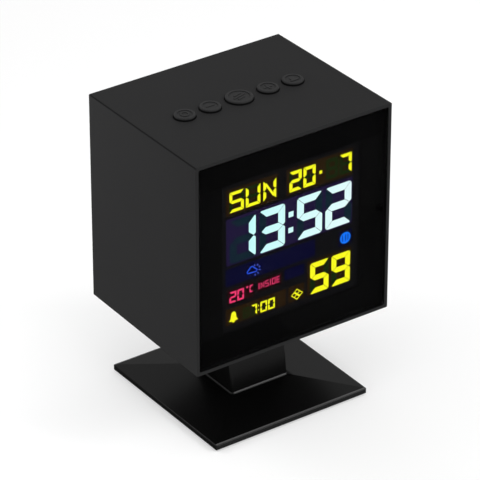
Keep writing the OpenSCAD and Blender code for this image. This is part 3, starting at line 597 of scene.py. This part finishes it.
# Closed plate from two rims of equal count: the strip between them in front and behind,
# and a wall along each rim
def stripPlate(outer, inner, layer, closed):
    rear, front = (glassFront - depth for depth in layers[layer])
    count = len(outer)
    flat = np.concatenate([outer, inner])
    x, z = flat[:, 0], flat[:, 1] + glassMidZ
    points = np.concatenate([np.column_stack([x, np.full(2 * count, y), z]) for y in (front, rear)])
    index = np.arange(count)
    here, following = (index, np.roll(index, -1)) if closed else (index[:-1], index[1:])
    # Where the rims start: outer and inner in front, then inner and outer behind
    corners = np.array((0, count, 3 * count, 2 * count))
    sides = [(corners[k], corners[(k + 1) % 4]) for k in range(4)]
    quads = np.concatenate([np.column_stack([here + a, following + a, following + b, here + b])
                            for a, b in sides])
    ends = [] if closed else [corners.tolist(), (corners[::-1] + count - 1).tolist()]
    return points, quads.tolist() + ends


# Line of even width: the path moved half the width to either side along its normal
def ribbon(path, width, closed=False):
    if closed:
        along = np.roll(path, -1, axis=0) - np.roll(path, 1, axis=0)
    else:
        along = np.gradient(path, axis=0)
    along /= np.linalg.norm(along, axis=1)[:, None]
    side = np.column_stack([-along[:, 1], along[:, 0]]) * width / 2
    return stripPlate(path + side, path - side, "mark", closed)


# Plates of one piece in one list: each plate's corners count on from the last one's
def joinPlates(plates):
    points, faces, start = [], [], 0
    for somePoints, someFaces in plates:
        points.append(somePoints)
        faces += [[start + corner for corner in face] for face in someFaces]
        start += len(somePoints)
    return np.concatenate(points), faces


# One mesh of closed plates, its faces turned outwards
def makePiece(name, plates, material):
    points, faces = joinPlates(plates)
    mesh = bpy.data.meshes.new(name)
    mesh.from_pydata((points * mm).tolist(), [], faces)
    work = bmesh.new()
    work.from_mesh(mesh)
    bmesh.ops.recalc_face_normals(work, faces=work.faces)
    work.to_mesh(mesh)
    work.free()
    mesh.update()
    mesh.materials.append(material)
    piece = bpy.data.objects.new(name, mesh)
    scene.collection.objects.link(piece)
    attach(piece, "clock")


# Border print behind the panel: black bands round the window, left open at the light sensor

printLook = {
    **frameLook, "colour": (0.0008, 0.0008, 0.0008),
    "window": 27.9, "edge": 36.6,      # mm from the middle of the face
    "sensor": 1.3,                     # mm, half the side of the opening for the light sensor
}
window, edge, opening = printLook["window"], printLook["edge"], printLook["sensor"]
sensorX = sum(corner.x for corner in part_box("sensor_pipe")) / 2 / mm
printBands = [
    (-edge, window, edge, edge), (-edge, -edge, edge, -window), (-edge, -window, -window, window),
    (window, opening, edge, window), (window, -window, edge, -opening),
    (window, -opening, sensorX - opening, opening),
]
makePiece("panel_border_print", [boxPlates(printBands, "print")],
          mouldedPlastic("borderPrint", printLook))

# Edge ink: a thin black band on each of the panel's four edges
inkLook = {
    **frameLook, "colour": (0.003, 0.003, 0.003), "specular": 0.0,
    "inner": 37.71, "outer": 37.79, "end": 37.2,                  # mm from the middle of the face
}
inner, outer, end = inkLook["inner"], inkLook["outer"], inkLook["end"]
inkBands = [
    (-end, inner, end, outer), (-end, -outer, end, -inner),
    (inner, -end, outer, end), (-outer, -end, -inner, end),
]
makePiece("panel_edge_ink", [boxPlates(inkBands, "panel")],
          mouldedPlastic("edgeInk", inkLook))

# Wall of the sensor's hole: a black tube through the panel between two circles on one middle
holeLook = {
    **frameLook, "colour": (0.0003, 0.0003, 0.0003), "specular": 0.0,
    "radii": (0.99, 0.8), "steps": 32,                            # mm, outer and inner
}
holeRims = [polarPoints((sensorX, 0), radius, fullTurn(holeLook["steps"]))
            for radius in holeLook["radii"]]
makePiece("sensor_hole_wall", [stripPlate(*holeRims, "panel", True)],
          mouldedPlastic("holeWall", holeLook))

fieldLook = {"half": 27.75, "light": lit(8, 7.5, 10), "drift": 0.12, "driftScale": 150}
half = fieldLook["half"]
makePiece("display_field", [boxPlates([(-half, -half, half, half)], "field")],
          litLayer("displayField", fieldLook))
print("panel border and display field laid")


# Tiles: faintly lit areas behind the characters

tileLook = {
    "brown": {"light": lit(40, 24, 3), "drift": 0.14},
    "violet": {"light": lit(32, 21, 60), "drift": 0.1},
    "navy": {"light": lit(2, 2, 45), "drift": 0.12},
    "maroon": {"light": lit(38, 5, 9), "drift": 0.14},
}
tilePlaces = {                         # mm, lower left and upper right corners
    "brown": [(-25.33, 15.68, -4.93, 25.33), (-1.43, 15.68, 25.33, 25.33),
              (7.33, -25.33, 25.33, -12.08), (-25.58, -25.58, -1.43, -19.33),
              (-0.43, -25.33, 6.08, -19.33)],
    "violet": [(-25.33, -2.93, 25.33, 14.58)],
    "navy": [(-25.58, -10.58, 10.33, -4.23), (20.08, -10.58, 25.33, -5.08),
             (-1.93, -16.08, 5.93, -12.08)],
    "maroon": [(-24.93, -17.58, -14.43, -12.08), (-13.18, -16.58, -3.18, -12.33)],
}
for colourName, places in tilePlaces.items():
    makePiece("display_tiles_" + colourName, [boxPlates(places, "tile")],
              litLayer("tile" + colourName.title(), tileLook[colourName]))
print("display tiles laid")


# Characters: lit and unlit strokes

lightLook = {
    "white": {"light": lit(192, 252, 252), "right": lit(228, 253, 253),
              "reach": (-24, 25), "strength": 1.34},              # reach in mm from the middle
    "yellow": {"light": lit(247, 247, 30), "strength": 1.4, "drift": 0.04},
    "pink": {"light": lit(240, 60, 114), "strength": 1.36, "drift": 0.05},
    "blue": {"light": lit(15, 111, 240), "strength": 1.44, "drift": 0.08},
    "deep": {"light": lit(8, 48, 130), "drift": 0.08},
    "sky": {"light": lit(84, 102, 235), "strength": 2.0},
    "cloud": {"light": lit(40, 84, 240), "strength": 1.5},
    "olive": {"light": lit(12, 39, 5), "drift": 0.12},
    "teal": {"light": lit(13, 38, 50), "drift": 0.1},
}
lights = {key: litLayer("light" + key.title(), look) for key, look in lightLook.items()}

strokeShape = {
    "steep": 0.84,                     # rise over run of the joints at mid height
    "inset": 0.3,                      # strokes from a side to those joints' points
    "slantEnd": 0.75,                  # strokes over the foot, where the slant ends
    "slantHeight": 1.24,               # strokes, the slant's upright thickness
}


# The strokes of one character: a rounded box cut by the lines of its joints, a seam apart
# Corner joints are mitred, and at mid height the strokes end in points set in from the sides
# Strokes go by letters: a to f clockwise from the top, g across the middle, n slanting, i upright
def characterStrokes(width, height, stroke, radius, seam):
    box = roundedOutline(width, height, radius)
    mid, steep, inset = height / 2, strokeShape["steep"], stroke * strokeShape["inset"]
    near, far = steep * inset, steep * (width - inset)
    above = {"left": (-steep, -1, -mid - near - seam), "right": (steep, -1, far - mid - seam)}
    below = {"left": (-steep, 1, mid - near - seam), "right": (steep, 1, mid + far - seam)}
    leftSide, rightSide = (1, 0, stroke), (-1, 0, stroke - width)
    strokes = {
        "a": [(0, -1, stroke - height), (-1, -1, -height - seam), (1, -1, width - height - seam)],
        "b": [rightSide, (-1, 1, height - width - seam), (-steep, -1, -mid - far - seam),
              above["right"]],
        "c": [rightSide, (-1, -1, -width - seam), (-steep, 1, mid - far - seam), below["right"]],
        "d": [(0, 1, stroke), (-1, 1, -seam), (1, 1, width - seam)],
        "e": [leftSide, (1, -1, -seam), (steep, 1, mid + near - seam), below["left"]],
        "f": [leftSide, (1, 1, height - seam), (steep, -1, near - mid - seam), above["left"]],
        "g": [(0, 1, mid + stroke / 2), (0, -1, stroke / 2 - mid),
              *above.values(), *below.values()],
    }
    shapes = {}
    for key, cuts in strokes.items():
        outline = box
        for cut in cuts:
            outline = cutOutline(outline, *cut)
        shapes[key] = outline
    low, rise = stroke * strokeShape["slantEnd"], stroke * strokeShape["slantHeight"]
    shapes["n"] = np.array(((width - stroke, low), (width - stroke, low + rise),
                            (stroke, height - low), (stroke, height - low - rise)))
    shapes["i"] = boxOutline((width - stroke) / 2, 0, (width + stroke) / 2, height)
    return shapes


litStrokes = {
    "0": "abcdef", "1": "bc", "2": "abged", "3": "abgcd", "5": "afgcd", "7": "abc",
    "9": "abcdfg", " ": "",
    "C": "afed", "D": "abcdef", "E": "afged", "I": "i", "N": "fbcen", "S": "afgcd", "U": "fedcb",
}
characterRows = {                      # mm: left edge and width of cells, foot and top of rows
    "weekday": {"text": "SUN", "cells": [(-24.07, 5.64), (-17.64, 5.74), (-10.7, 5.1)],
                "z": (16.65, 24.14), "stroke": 1.12, "radius": 0.35, "seam": 0.09,
                "light": "yellow", "unlit": "olive"},
    "date": {"text": "20 7", "cells": [(-0.31, 4.91), (5.3, 4.9), (14.4, 4.9), (19.96, 4.9)],
             "z": (16.65, 24.14), "stroke": 1.22, "radius": 0.35, "seam": 0.09,
             "light": "yellow", "unlit": "olive"},
    "time": {"text": "1352",
             "cells": [(-23.95, 10.25), (-12.25, 10.25), (2.86, 10.2), (14.4, 10.53)],
             "z": (-2.4, 13.42), "stroke": 2.73, "radius": 1.2, "seam": 0.1,
             "light": "white", "unlit": "teal", "firstLacks": "f"},
    "degrees": {"text": "20", "cells": [(-24.14, 2.75), (-21.0, 2.65)],
                "z": (-17.22, -13.06), "stroke": 0.67, "radius": 0.15, "seam": 0.05,
                "light": "pink"},
    "unit": {"text": "C", "cells": [(-16.1, 1.4)],
             "z": (-15.72, -13.06), "stroke": 0.45, "radius": 0.1, "seam": 0.02, "light": "pink"},
    "place": {"text": "INSIDE", "cells": [(-12.55, 0.5), (-11.6, 1.36), (-9.8, 1.36),
                                          (-8.0, 0.5), (-7.05, 1.36), (-5.25, 1.36)],
              "z": (-15.75, -13.4), "stroke": 0.27, "radius": 0.1, "seam": 0.0, "light": "pink"},
    "humidity": {"text": "59", "cells": [(8.45, 7.62), (17.19, 7.69)],
                 "z": (-25.05, -13.22), "stroke": 2.02, "radius": 0.8, "seam": 0.09,
                 "light": "yellow", "unlit": "olive"},
    "alarm": {"text": " 700", "cells": [(-18.75, 2.6), (-15.4, 2.3), (-11.75, 2.75), (-8.62, 2.72)],
              "z": (-25.0, -20.92), "stroke": 0.66, "radius": 0.2, "seam": 0.06,
              "light": "yellow", "unlit": "olive"},
}
for rowName, row in characterRows.items():
    z0, z1 = row["z"]
    shining, resting = [], []
    for index, (character, (x0, width)) in enumerate(zip(row["text"], row["cells"])):
        shapes = characterStrokes(width, z1 - z0, row["stroke"], row["radius"], row["seam"])
        wanted = litStrokes[character]
        shining += [shapes[key] + (x0, z0) for key in wanted]
        if "unlit" in row and character != "N":
            absent = wanted + (row.get("firstLacks", "") if index == 0 else "")
            resting += [shapes[key] + (x0, z0) for key in "abcdefg" if key not in absent]
    makePiece("display_" + rowName, [outlinePlates(shining, "mark")], lights[row["light"]])
    if resting:
        makePiece("display_" + rowName + "_unlit", [outlinePlates(resting, "mark")],
                  lights[row["unlit"]])

dotPlaces = {
    "date": ([(11.73, 19.78, 12.83, 20.93)], "yellow"),
    "time": ([(-0.55, 7.4, 1.4, 9.4), (-0.6, 1.5, 1.35, 3.45)], "white"),
    "alarm": ([(-12.66, -22.2, -12.3, -21.75), (-12.66, -23.85, -12.3, -23.4)], "yellow"),
}
for dotName, (places, light) in dotPlaces.items():
    makePiece("display_" + dotName + "_dots", [boxPlates(places, "mark")], lights[light])
print("display characters drawn")


# Signs of the display

# Weather: a cloud of three arcs, and short rays about the sun's middle
weatherLook = {
    "lobes": [(-16.5, -7.85, 0.55, 265, 130), (-15.25, -7.05, 0.9, 165, 20),
              (-13.75, -7.95, 0.55, 75, -90)],         # centre and radius in mm, then degrees
    "lobeSteps": 12, "line": 0.33,
    "sun": (-13.83, -7.83), "rayLine": 0.2, "rayReach": np.array((1.5, 2.2)),
    "rayAngles": (98, 60, 22, -16, -54, -92),
}
lobeSteps = weatherLook["lobeSteps"]
cloudPath = np.concatenate([polarPoints((x, z), radius, np.linspace(start, stop, lobeSteps))
                            for x, z, radius, start, stop in weatherLook["lobes"]])
rayPaths = [polarPoints(weatherLook["sun"], weatherLook["rayReach"], np.full(2, angle))
            for angle in weatherLook["rayAngles"]]
makePiece("display_cloud", [ribbon(cloudPath, weatherLook["line"], True)], lights["cloud"])
makePiece("display_sun_rays", [ribbon(path, weatherLook["rayLine"]) for path in rayPaths],
          lights["sky"])

# Moon: a disc with upright lines on it
moonLook = {
    "centre": (22.76, -7.88), "radius": 2.16, "steps": 48,
    "line": 0.36, "lines": (-1.22, 0.05, 1.05), "lineEnds": (-1.05, 1.25),
}
moonX, moonZ = moonLook["centre"]
moonDisc = polarPoints(moonLook["centre"], moonLook["radius"], fullTurn(moonLook["steps"]))
makePiece("display_moon", [outlinePlates([moonDisc], "mark")], lights["blue"])
lineHalf, (lineLow, lineHigh) = moonLook["line"] / 2, moonLook["lineEnds"]
moonLines = [(moonX + x - lineHalf, moonZ + lineLow, moonX + x + lineHalf, moonZ + lineHigh)
             for x in moonLook["lines"]]
makePiece("display_moon_lines", [boxPlates(moonLines, "moonLine")], lights["deep"])

# Bell: half widths at rising heights, mirrored, over a half circle for the clapper
bellLook = {
    "middle": (-22.53, -24.96),        # mm, the clapper's lowest point
    "heights": (0.6, 0.7, 0.84, 0.97, 1.2, 1.5, 1.95, 2.65, 3.3, 3.66, 3.92, 4.08, 4.14),
    "halves": (0.75, 1.6, 1.82, 1.74, 1.48, 1.28, 1.14, 1.02, 0.92, 0.79, 0.58, 0.32, 0.02),
    "clapper": 0.55, "clapperSteps": 14,
}
bellX, bellZ = bellLook["middle"]
bellHalves, bellHeights = np.array(bellLook["halves"]), np.array(bellLook["heights"])
bellRims = [np.column_stack([bellX + side * bellHalves, bellZ + bellHeights]) for side in (1, -1)]
clapper = polarPoints((bellX, bellZ + bellLook["clapper"]), bellLook["clapper"],
                      np.linspace(180, 360, bellLook["clapperSteps"]))
makePiece("display_bell",
          [stripPlate(*bellRims, "mark", False), outlinePlates([clapper], "mark")],
          lights["yellow"])

# Comfort sign: a square on its corner with two bars across it, which leave four openings
comfortLook = {"centre": (3.13, -22.97), "half": (2.42, 2.12), "line": 0.4, "bars": (0.3, 0.62)}
comfortMiddle, outerHalf = np.array(comfortLook["centre"]), np.array(comfortLook["half"])
innerHalf = outerHalf - comfortLook["line"]
corners = np.array(((1, 0), (0, 1), (-1, 0), (0, -1)), float)
comfortRims = [comfortMiddle + corners * reach for reach in (outerHalf, innerHalf)]
sideMiddles = (corners + np.roll(corners, -1, axis=0)) * innerHalf / 2
comfortBars = [ribbon(comfortMiddle + sideMiddles[[k, k + 2]], bar)
               for k, bar in enumerate(comfortLook["bars"])]
makePiece("display_comfort", [stripPlate(*comfortRims, "mark", True), *comfortBars],
          lights["yellow"])

degreeLook = {"centre": (-17.03, -13.32), "radius": 0.29, "line": 0.24, "steps": 24}
degreePath = polarPoints(degreeLook["centre"], degreeLook["radius"], fullTurn(degreeLook["steps"]))
makePiece("display_degree", [ribbon(degreePath, degreeLook["line"], True)], lights["pink"])
print("display signs drawn")


# Studio: pale floor that keeps the shadow, white surroundings and three soft lamps

studioLook = {
    "floor": 0.98,                     # tone of the floor
    "glow": 0.34,                      # part of that tone which the camera sees as even white
    "size": 6.0,                       # m
    "world": 0.72,
}


# Rays that show the surroundings themselves: straight to the camera, mirrored or let through
def seenRays(tree):
    path = addNode(tree, "ShaderNodeLightPath")
    seen = path.outputs["Is Camera Ray"]
    for ray in ("Is Glossy Ray", "Is Transmission Ray"):
        seen = calculate(tree, "MAXIMUM", seen, path.outputs[ray])
    return seen


def makeFloor(look):
    half = look["size"] / 2
    mesh = bpy.data.meshes.new("studioFloor")
    square = [(-half, -half, 0), (half, -half, 0), (half, half, 0), (-half, half, 0)]
    mesh.from_pydata(square, [], [(0, 1, 2, 3)])
    floor = bpy.data.objects.new("studioFloor", mesh)
    scene.collection.objects.link(floor)
    material, tree, shader = newMaterial("floorPale")
    seen = seenRays(tree)
    white, seenWhite = ((level,) * 3 for level in (look["floor"], look["floor"] - look["glow"]))
    tone = blendColours(tree, seen, shade(white), shade(seenWhite))
    wire(tree, (tone, shader.inputs["Base Color"]),
         (spanTo(tree, seen, 0, look["glow"], 0, 1), shader.inputs["Emission Strength"]))
    shader.inputs["Emission Color"].default_value = (1, 1, 1, 1)
    shader.inputs["Roughness"].default_value = 1.0
    shader.inputs["Specular IOR Level"].default_value = 0.0
    floor.data.materials.append(material)


def makeWorld(look):
    world = bpy.data.worlds.new("studioWorld")
    world.use_nodes = True
    tree = world.node_tree
    background = tree.nodes["Background"]
    background.inputs["Color"].default_value = (1, 1, 1, 1)
    strength = spanTo(tree, seenRays(tree), look["world"], 1.0, 0, 1)
    wire(tree, (strength, background.inputs["Strength"]))
    scene.world = world


lampAim = Vector((0, 0, 0.07))         # m
lampLook = {                           # place and size in m, power in W
    "key": {"place": (-0.15, -0.4, 1.4), "size": 1.0, "power": 3.9},
    "fill": {"place": (0.9, -0.95, 0.98), "size": 0.6, "power": 9.0},
    "side": {"place": (-0.12, 0.1, 0.13), "size": 0.08, "power": 0.1},
}


def makeLamps(look):
    for lampName, setup in look.items():
        data = bpy.data.lights.new("lamp_" + lampName, "AREA")
        data.size = setup["size"]
        data.energy = setup["power"]
        lamp = bpy.data.objects.new("lamp_" + lampName, data)
        lamp.location = setup["place"]
        lamp.visible_camera = False
        lamp.rotation_euler = (lampAim - lamp.location).to_track_quat("-Z", "Y").to_euler()
        scene.collection.objects.link(lamp)


makeFloor(studioLook)
makeWorld(studioLook)
makeLamps(lampLook)
scene.view_settings.view_transform = "Standard"
print("studio ready")

bpy.context.view_layer.update()
